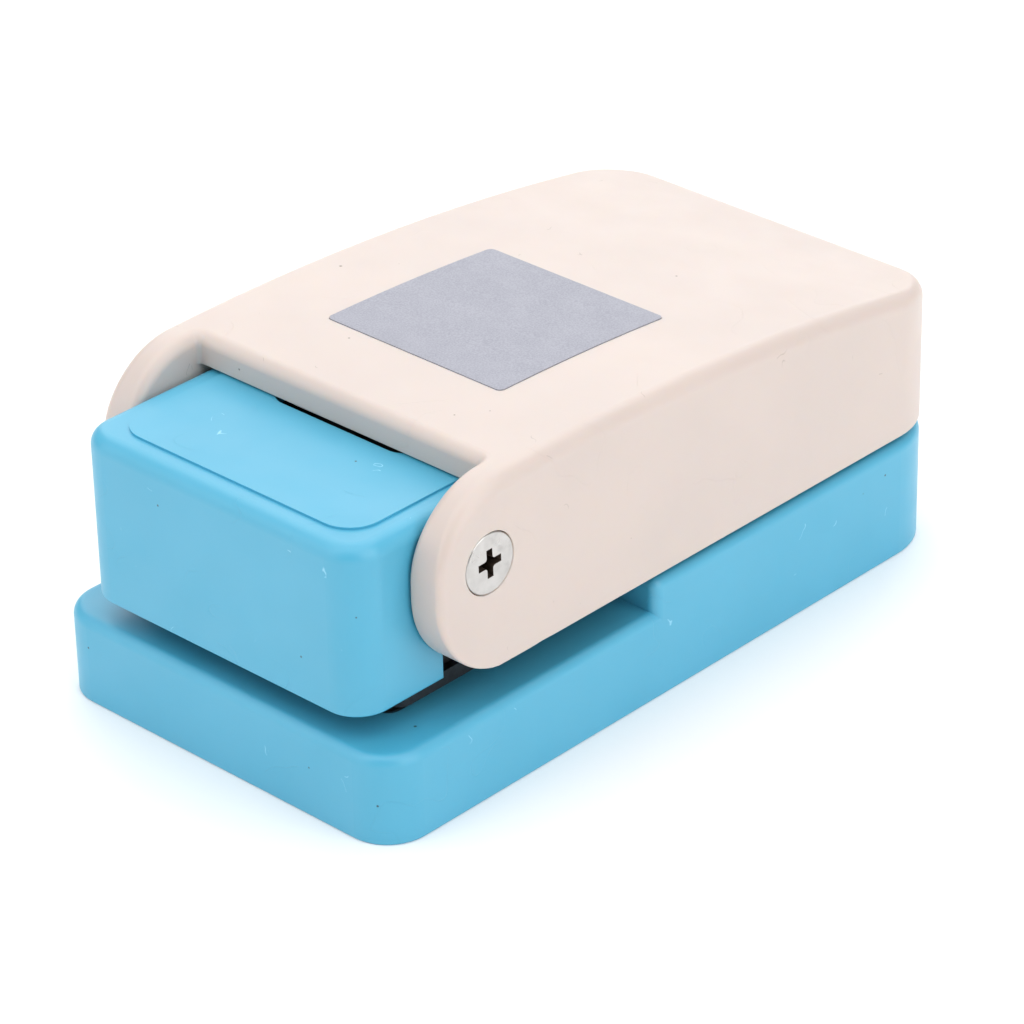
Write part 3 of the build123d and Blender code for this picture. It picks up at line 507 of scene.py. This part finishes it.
@dataclass
class CrossScrews:
    """The cross-recess screws of one CAD node, with turned heads, tapered recesses and threads."""

    node: str
    body: str
    slot: str
    form: HeadForm
    head_d: float
    shank_d: float
    places: list[Matrix]
    recess_d: float
    length: float
    shoulder: float = 0.0
    tip_d: float = 0.0
    rim: float = 0.25 * MM
    edge: float = 0.08 * MM
    pitch: float = 0.7 * MM
    thread_depth: float = 0.16 * MM
    facets: int = 72
    pan_height: float = 0.4
    dome_share: float = 0.55
    dome_steps: int = 6
    root_share: float = 0.38
    crest_share: float = 0.06
    tip_taper: float = 0.4 * MM
    arm_share: float = 0.26
    arm_taper: float = 0.62
    recess_depth: float = 0.6
    corner_share: float = 0.09
    crease: float = 32.0

    def head_height(self) -> float:
        """Height of the head above the shank."""
        if self.form is HeadForm.COUNTERSUNK:
            return self.head_d / 2 - self.shank_d / 2 + self.rim
        return self.pan_height * self.head_d

    def profile(self) -> list[tuple[float, float]]:
        """Works out the half section, from the top of the axis to the bottom.

        Returns:
            Radius and height of each point, with the top of the head at height 0.
        """
        head_r = self.head_d / 2
        shank_r = self.shank_d / 2
        points = [(0.0, 0.0)]
        if self.form is HeadForm.COUNTERSUNK:
            points += [(head_r - self.edge, 0.0), (head_r, -self.edge), (head_r, -self.rim)]
        else:
            flat_r = self.dome_share * head_r
            drop = self.dome_share * self.head_height()
            for step in range(1, self.dome_steps + 1):
                angle = 0.5 * pi * step / self.dome_steps
                points.append((flat_r + (head_r - flat_r) * sin(angle), -drop * (1.0 - cos(angle))))
            points.append((head_r, -self.head_height()))
        points.append((shank_r, -self.head_height()))
        end_r = (self.tip_d or self.shank_d) / 2
        thread_top = self.head_height()
        if self.shoulder:
            points += [(shank_r, -self.shoulder), (end_r, -self.shoulder)]
            thread_top = self.shoulder
        turns = int((self.length - thread_top - self.pitch) / self.pitch)
        root_r = end_r - self.thread_depth
        to_root = self.root_share * self.pitch
        to_crest = self.crest_share * self.pitch
        for turn in range(turns):
            crest = -thread_top - (turn + 0.5) * self.pitch
            points += [(root_r, crest + to_root), (end_r, crest + to_crest)]
            points += [(end_r, crest - to_crest), (root_r, crest - to_root)]
        points += [(end_r - self.tip_taper, -self.length), (0.0, -self.length)]
        return points

    def turned(self) -> bpy.types.Mesh:
        """Turns the screw's body about its axis.

        Returns:
            The closed mesh, with the top of its head at the origin.
        """
        body = bmesh.new()
        line = [body.verts.new((radius, 0.0, height)) for radius, height in self.profile()]
        edges = [body.edges.new(pair) for pair in zip(line, line[1:])]
        bmesh.ops.spin(
            body, geom=line + edges, cent=(0, 0, 0), axis=(0, 0, 1), angle=2 * pi,
            steps=self.facets, use_merge=True,
        )
        bmesh.ops.remove_doubles(body, verts=body.verts, dist=LATHE_SEAM)
        bmesh.ops.recalc_face_normals(body, faces=body.faces)
        mesh = bpy.data.meshes.new(f"{self.node}_turned")
        body.to_mesh(mesh)
        body.free()
        return mesh

    def recess(self) -> bpy.types.Mesh:
        """Makes the tapered cross that is struck out of the head.

        Returns:
            The closed mesh, standing a little proud of the head's top.
        """
        proud = 0.2 * MM
        strips = 3
        half_strip = self.recess_d / strips / 2
        cross = bmesh.new()
        bmesh.ops.create_grid(cross, x_segments=strips, y_segments=strips, size=self.recess_d / 2)
        corners = [f for f in cross.faces if all(abs(c) > half_strip for c in f.calc_center_median().xy)]
        bmesh.ops.delete(cross, geom=corners, context="FACES")
        for vert in cross.verts:
            for axis in (0, 1):
                if abs(vert.co[axis]) < 2 * half_strip:
                    vert.co[axis] *= self.arm_share * strips
        bmesh.ops.translate(cross, verts=cross.verts, vec=(0, 0, proud))
        grown = bmesh.ops.extrude_face_region(cross, geom=cross.faces[:])
        sunk = [g for g in grown["geom"] if isinstance(g, bmesh.types.BMVert)]
        bmesh.ops.scale(cross, verts=sunk, vec=(self.arm_taper, self.arm_taper, 1.0))
        bmesh.ops.translate(cross, verts=sunk, vec=(0, 0, -proud - self.recess_depth * self.recess_d))
        bmesh.ops.recalc_face_normals(cross, faces=cross.faces)
        inner = [e for e in cross.edges if self.is_inner_corner(e)]
        bmesh.ops.bevel(
            cross, geom=inner, offset=self.corner_share * self.recess_d, segments=3, profile=0.5,
            affect="EDGES", material=-1,
        )
        mesh = bpy.data.meshes.new(f"{self.node}_recess")
        cross.to_mesh(mesh)
        cross.free()
        return mesh

    def is_inner_corner(self, edge: bmesh.types.BMEdge) -> bool:
        """Tells whether an edge is one of the cross's four upright inner corners.

        Args:
            edge: The edge.

        Returns:
            True if it is.
        """
        along = (edge.verts[1].co - edge.verts[0].co).normalized()
        middle = (edge.verts[0].co + edge.verts[1].co) / 2
        is_upright = abs(along.z) > 0.5
        return is_upright and max(abs(middle.x), abs(middle.y)) < self.arm_share * self.recess_d

    def struck(self, palette: Palette) -> bpy.types.Mesh:
        """Cuts the recess out of the turned body.

        Args:
            palette: The finishes.

        Returns:
            The finished mesh of one screw.
        """
        blank = bpy.data.objects.new(f"{self.node}_blank", self.turned())
        punch = bpy.data.objects.new(f"{self.node}_punch", self.recess())
        blank.data.materials.append(palette.made[self.slot])
        # The recess faces take the dark recess finish, which is painted shade over the recess's dark oxide.
        punch.data.materials.append(palette.made["recess_grime"])
        for piece in (blank, punch):
            bpy.context.scene.collection.objects.link(piece)
        cut = blank.modifiers.new("strike", "BOOLEAN")
        cut.operation = "DIFFERENCE"
        cut.solver = "EXACT"
        cut.material_mode = "TRANSFER"
        cut.object = punch
        ready = blank.evaluated_get(bpy.context.evaluated_depsgraph_get())
        mesh = bpy.data.meshes.new_from_object(ready)
        for piece in (blank, punch):
            bpy.data.objects.remove(piece)
        return mesh

    def build(self, palette: Palette) -> bpy.types.Object:
        """Sets one screw at each place and stands them in for the CAD node.

        Args:
            palette: The finishes.

        Returns:
            The piece that holds all the node's screws.
        """
        one = self.struck(palette)
        group = bmesh.new()
        for place in self.places:
            copy = one.copy()
            copy.transform(place)
            group.from_mesh(copy)
        mesh = bpy.data.meshes.new(f"{self.node}_turned_set")
        group.to_mesh(mesh)
        group.free()
        for material in one.materials:
            mesh.materials.append(material)
        piece = bpy.data.objects.new(f"{self.node}_detailed", mesh)
        bpy.context.scene.collection.objects.link(piece)
        mesh.set_sharp_from_angle(angle=radians(self.crease))
        mesh.polygons.foreach_set("use_smooth", [True] * len(mesh.polygons))
        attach(piece, self.body)
        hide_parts(self.node)
        log.info("piece %s: %d screws", piece.name, len(self.places))
        return piece


@dataclass
class LeverSkin:
    """The lever's shell, with its edge rounds drawn in finer round the ears than along the roof.

    The CAD shell has one round along its whole outer edge and one round its mouth. On the real
    lever both shrink as they run down the front of the ears, so a merged copy of the shell is
    reshaped there, in the corner between the ear's flat side and its curved front.
    """

    outer_round: float = 1.8 * MM
    mouth_round: float = 1.5 * MM
    front_share: float = 0.45
    foot_share: float = 0.14
    mouth_share: float = 0.34
    ear_radius: float = 9.95 * MM
    ear_thick: float = 4.4 * MM
    heel: float = 0.15 * MM
    fade_length: float = 6.4 * MM
    crown_radius: float = 330.0 * MM
    crown_behind_front: float = 27.3 * MM
    foot_haste: float = 1.15
    slack: float = 0.02 * MM
    near_crown: float = 0.01 * MM
    facing_crown: float = 0.94
    crease: float = 24.0

    def measure(self) -> None:
        """Works out where the ear's curves lie from the CAD shell's box."""
        low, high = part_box("lever_shell")
        self.side = high.x
        self.inner = high.x - self.ear_thick
        self.front = low.y
        self.middle = low.y + self.ear_radius
        self.bottom = low.z
        self.low_centre = low.z + self.ear_radius - self.heel
        self.heel_y = self.middle - (self.ear_radius**2 - (self.ear_radius - self.heel) ** 2) ** 0.5
        crown_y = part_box("base_shell")[0].y + self.crown_behind_front
        inside = self.crown_radius - self.ear_radius
        self.crown = Vector((crown_y, high.z - self.crown_radius))
        self.high_centre = self.crown.y + (inside**2 - (self.middle - crown_y) ** 2) ** 0.5

    def outline(self, y: float, z: float) -> tuple[Vector, float] | None:
        """Finds the nearest place on the ear's outline.

        Args:
            y: Lengthwise place.
            z: Height.

        Returns:
            The outline's outward direction there and the depth inside it, or None beyond the ear.
        """
        if z < self.low_centre and self.heel_y < y < self.heel_y + self.fade_length:
            return Vector((0.0, -1.0)), z - self.bottom
        if y > self.middle:
            return None
        if z > self.high_centre:
            centre = Vector((self.middle, self.high_centre))
        elif z < self.low_centre:
            centre = Vector((self.middle, self.low_centre))
        else:
            return Vector((-1.0, 0.0)), y - self.front
        away = Vector((y, z)) - centre
        return away.normalized(), self.ear_radius - away.length

    def share(self, away: Vector, at_foot: float, at_front: float) -> float:
        """Gives how much of a round is left at a place on the ear's outline.

        Args:
            away: The outline's outward direction.
            at_foot: Share where the outline faces down.
            at_front: Share where it faces forward.

        Returns:
            The share, 1 where the outline faces up.
        """
        if away.y >= 0.0:
            smooth_step = away.y * away.y * (3.0 - 2.0 * away.y)
            return at_front + (1.0 - at_front) * smooth_step
        return at_front + (at_foot - at_front) * min(1.0, -self.foot_haste * away.y)

    def reshape(self, vert: bmesh.types.BMVert) -> None:
        """Draws one vertex of a round out towards the sharp corner.

        Args:
            vert: The vertex.
        """
        found = self.outline(vert.co.y, vert.co.z)
        if found is None:
            return
        away, depth = found
        is_low = vert.co.z < self.low_centre
        fade = max(0.0, vert.co.y - self.heel_y) / self.fade_length if is_low else 0.0
        outer_round = self.outer_round * (1.0 - fade * (1.0 - self.foot_share))
        outer_reach = outer_round + self.slack
        mouth_reach = self.mouth_round + self.slack
        width = abs(vert.co.x)
        from_side = self.side - width
        from_mouth = width - self.inner
        if from_side <= outer_reach and depth <= outer_reach:
            keep = self.share(away, self.foot_share, self.front_share) * self.outer_round / outer_round
            new_width = self.side - keep * from_side
        elif -self.slack <= from_mouth <= mouth_reach and depth <= mouth_reach:
            keep = self.share(away, self.mouth_share, self.mouth_share) * (1.0 - fade) + fade
            new_width = self.inner + keep * from_mouth
        else:
            return
        out = (1.0 - keep) * depth
        vert.co.y += away.x * out
        vert.co.z += away.y * out
        vert.co.x = new_width if vert.co.x > 0 else -new_width

    def smooth_roof(self, piece: bpy.types.Object) -> None:
        """Gives the skin normals led by its large faces, and the roof those of its true curve.

        Args:
            piece: The skin.
        """
        weighted = piece.modifiers.new("flat_faces_first", "WEIGHTED_NORMAL")
        weighted.keep_sharp = True
        graph = bpy.context.evaluated_depsgraph_get()
        normals = [corner.vector.copy() for corner in piece.evaluated_get(graph).to_mesh().corner_normals]
        piece.modifiers.remove(weighted)
        for face in piece.data.polygons:
            for index in face.loop_indices:
                place = piece.data.vertices[piece.data.loops[index].vertex_index].co
                away = Vector((0.0, place.y - self.crown.x, place.z - self.crown.y))
                is_on_crown = abs(away.length - self.crown_radius) < self.near_crown
                if is_on_crown and face.normal.dot(away.normalized()) > self.facing_crown:
                    normals[index] = away.normalized()
        piece.data.normals_split_custom_set(normals)

    def build(self, frame: dict, palette: Palette) -> bpy.types.Object:
        """Makes the reshaped shell and stands it in for the CAD node.

        Args:
            palette: The finishes.

        Returns:
            The shell.
        """
        self.measure()
        shell = bmesh.new()
        shell.from_mesh(frame["nodes"]["lever_shell"].data)
        bmesh.ops.remove_doubles(shell, verts=shell.verts, dist=CAD_SEAM)
        for vert in shell.verts:
            self.reshape(vert)
        mesh = bpy.data.meshes.new("lever_skin")
        shell.to_mesh(mesh)
        shell.free()
        mesh.materials.clear()
        mesh.materials.append(palette.made["cream_plastic"])
        mesh.polygons.foreach_set("use_smooth", [True] * len(mesh.polygons))
        mesh.set_sharp_from_angle(angle=radians(self.crease))
        piece = bpy.data.objects.new("lever_skin", mesh)
        bpy.context.scene.collection.objects.link(piece)
        self.smooth_roof(piece)
        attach(piece, "lever")
        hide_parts("lever_shell")
        log.info("piece %s: %d faces", piece.name, len(mesh.polygons))
        return piece


@dataclass
class Pivot:
    """The two shouldered screws that the lever turns on."""

    head_d: float = 6.8 * MM
    shoulder_d: float = 4.0 * MM
    thread_d: float = 3.0 * MM
    thread_length: float = 7.0 * MM
    recess_d: float = 3.4 * MM
    right_turn: float = 2.0
    left_turn: float = 35.0

    def screws(self) -> CrossScrews:
        """Places the screws at the ends of the CAD node's box.

        Returns:
            The screw set.
        """
        low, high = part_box("pivot_screws")
        _, shaft_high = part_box("pivot_shaft")
        middle = (low + high) / 2
        shoulder = high.x - shaft_high.x
        places = []
        for side, turn in ((high.x, self.right_turn), (low.x, self.left_turn)):
            facing = Matrix.Rotation(pi / 2 if side > 0 else -pi / 2, 4, "Y")
            spin = Matrix.Rotation(radians(turn), 4, "Z")
            places.append(Matrix.Translation((side, middle.y, middle.z)) @ facing @ spin)
        return CrossScrews(
            node="pivot_screws", body="base", slot="nickel_steel", form=HeadForm.COUNTERSUNK,
            head_d=self.head_d, shank_d=self.shoulder_d, places=places, recess_d=self.recess_d,
            length=shoulder + self.thread_length, shoulder=shoulder, tip_d=self.thread_d,
        )


@dataclass
class ScrewRow:
    """A set of plain screws that all point the same way along Z, placed from their CAD node's box."""

    node: str
    body: str
    form: HeadForm
    head_d: float
    shank_d: float
    recess_d: float
    along_x: int
    along_y: int
    points_up: bool
    first_turn: float = 10.0
    turn_step: float = 25.0

    def screws(self) -> CrossScrews:
        """Spreads the screws over the CAD node's box.

        Returns:
            The screw set.
        """
        low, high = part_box(self.node)
        inset = self.head_d / 2
        places = []
        for column in range(self.along_x):
            for line in range(self.along_y):
                x = self.share(low.x + inset, high.x - inset, column, self.along_x)
                y = self.share(low.y + inset, high.y - inset, line, self.along_y)
                turn = self.turn_step * (column + 2 * line) + self.first_turn
                spin = Matrix.Rotation(radians(turn), 4, "Z")
                flip = Matrix.Rotation(pi, 4, "X") if self.points_up else Matrix.Identity(4)
                top = low.z if self.points_up else high.z
                places.append(Matrix.Translation((x, y, top)) @ flip @ spin)
        return CrossScrews(
            node=self.node, body=self.body, slot="zinc_steel", form=self.form, head_d=self.head_d,
            shank_d=self.shank_d, places=places, recess_d=self.recess_d, length=high.z - low.z,
            pitch=0.55 * MM, thread_depth=0.12 * MM, facets=48,
        )

    @staticmethod
    def share(first: float, last: float, index: int, count: int) -> float:
        """Gives one of several evenly spread places.

        Args:
            first: The first place.
            last: The last place.
            index: Which one.
            count: How many there are.

        Returns:
            The place, or the middle where there is only one.
        """
        return (first + last) / 2 if count == 1 else first + (last - first) * index / (count - 1)


SCREW_ROWS = (
    ScrewRow("bottom_cover_screws", "base", HeadForm.COUNTERSUNK, 4.4 * MM, 2.4 * MM, 2.0 * MM, 2, 2, True),
    ScrewRow("guide_block_screws", "base", HeadForm.COUNTERSUNK, 3.6 * MM, 2.0 * MM, 1.6 * MM, 2, 2, True),
    ScrewRow("die_screws", "base", HeadForm.PAN, 3.6 * MM, 2.0 * MM, 1.6 * MM, 2, 2, True),
    ScrewRow("head_cover_screws", "base", HeadForm.PAN, 4.4 * MM, 2.4 * MM, 2.0 * MM, 2, 1, False),
    ScrewRow("catch_screw", "base", HeadForm.PAN, 3.6 * MM, 2.0 * MM, 1.6 * MM, 1, 1, False),
    ScrewRow("punch_screw", "punch", HeadForm.PAN, 4.4 * MM, 2.4 * MM, 2.0 * MM, 1, 1, False),
)


@dataclass(frozen=True)
class Lamp:
    """A square soft light that is aimed at the punch."""

    name: str
    place: Triple
    size: float
    power: float

    def hang(self, aim: Vector) -> bpy.types.Object:
        """Hangs the lamp.

        Args:
            aim: The point that it faces.

        Returns:
            The light.
        """
        data = bpy.data.lights.new(self.name, "AREA")
        data.shape = "SQUARE"
        data.size = self.size
        data.energy = self.power
        light = bpy.data.objects.new(self.name, data)
        bpy.context.scene.collection.objects.link(light)
        light.location = self.place
        light.rotation_euler = (aim - light.location).to_track_quat("-Z", "Y").to_euler()
        return light


LAMPS = (
    Lamp("overhead", (-0.05, 0.05, 0.9), size=1.3, power=6.9),
    Lamp("left_front", (-0.35, -0.75, 0.50), size=0.9, power=2.9),
    Lamp("right_side", (0.85, 0.05, 0.45), size=0.9, power=4.2),
    Lamp("far_sky", (-0.60, 0.62, 0.48), size=0.9, power=3.1),
)


@dataclass
class Studio:
    """A pale floor, a bright room, soft lights and the camera."""

    floor_size: float = 4.0
    floor_colour: Colour = (0.97, 0.97, 0.97)
    floor_roughness: float = 0.9
    paper_scale: float = 1500.0
    paper_depth: float = 0.01 * MM
    world_strength: float = 0.48
    camera_azimuth: float = 43.8
    camera_elevation: float = 29.5
    camera_roll: float = -1.25
    camera_distance: float = 483.7 * MM
    camera_lens: float = 157.4
    sensor_width: float = 36.0
    nearest: float = 10.0 * MM
    aim: Vector = field(default_factory=lambda: Vector((4.05, -4.56, 15.0)) * MM)

    def floor(self) -> bpy.types.Object:
        """Lays the floor of matt white paper.

        Returns:
            The floor object.
        """
        bpy.ops.mesh.primitive_plane_add(size=self.floor_size)
        plane = bpy.context.object
        plane.name = "floor"
        nodes = Nodes("floor_paper")
        nodes.emboss(nodes.noise(self.paper_scale, 3.0), 0, self.paper_depth)
        nodes.shader.inputs["Base Color"].default_value = (*self.floor_colour, 1.0)
        nodes.shader.inputs["Roughness"].default_value = self.floor_roughness
        plane.data.materials.append(nodes.material)
        return plane

    def world(self) -> None:
        """Lights the room evenly from a white sky."""
        sky = bpy.data.worlds.new("studio")
        sky.use_nodes = True
        bpy.context.scene.world = sky
        background = sky.node_tree.nodes["Background"]
        background.inputs["Color"].default_value = (1.0, 1.0, 1.0, 1.0)
        background.inputs["Strength"].default_value = self.world_strength

    def camera(self) -> bpy.types.Object:
        """Places the camera and makes it the scene's own.

        Returns:
            The camera.
        """
        angles = (self.camera_azimuth, self.camera_elevation, self.camera_roll)
        turn, lift, roll = (radians(angle) for angle in angles)
        back = Vector((sin(turn) * cos(lift), -cos(turn) * cos(lift), sin(lift)))
        level = Vector((cos(turn), sin(turn), 0.0))
        rise = back.cross(level)
        right = level * cos(roll) + rise * sin(roll)
        up = rise * cos(roll) - level * sin(roll)
        data = bpy.data.cameras.new("camera")
        data.lens = self.camera_lens
        data.sensor_width = self.sensor_width
        data.clip_start = self.nearest
        camera = bpy.data.objects.new("camera", data)
        bpy.context.scene.collection.objects.link(camera)
        facing = Matrix((right, up, back)).transposed().to_4x4()
        camera.matrix_world = Matrix.Translation(self.aim + back * self.camera_distance) @ facing
        bpy.context.scene.camera = camera
        return camera

    def build(self) -> None:
        """Sets up the whole studio."""
        bpy.context.scene.view_settings.view_transform = "Standard"
        self.floor()
        self.world()
        for lamp in LAMPS:
            lamp.hang(self.aim)
        self.camera()
        log.info("studio built")


def main() -> None:
    """Builds the punch's looks and its studio."""
    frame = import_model()
    palette = Palette.mix_all()
    palette.dress_frame(frame)
    LeverSkin().build(frame, palette)
    Pivot().screws().build(palette)
    for row in SCREW_ROWS:
        row.screws().build(palette)
    Studio().build()


if __name__ == "__main__":
    logging.basicConfig(level=logging.INFO)
    main()
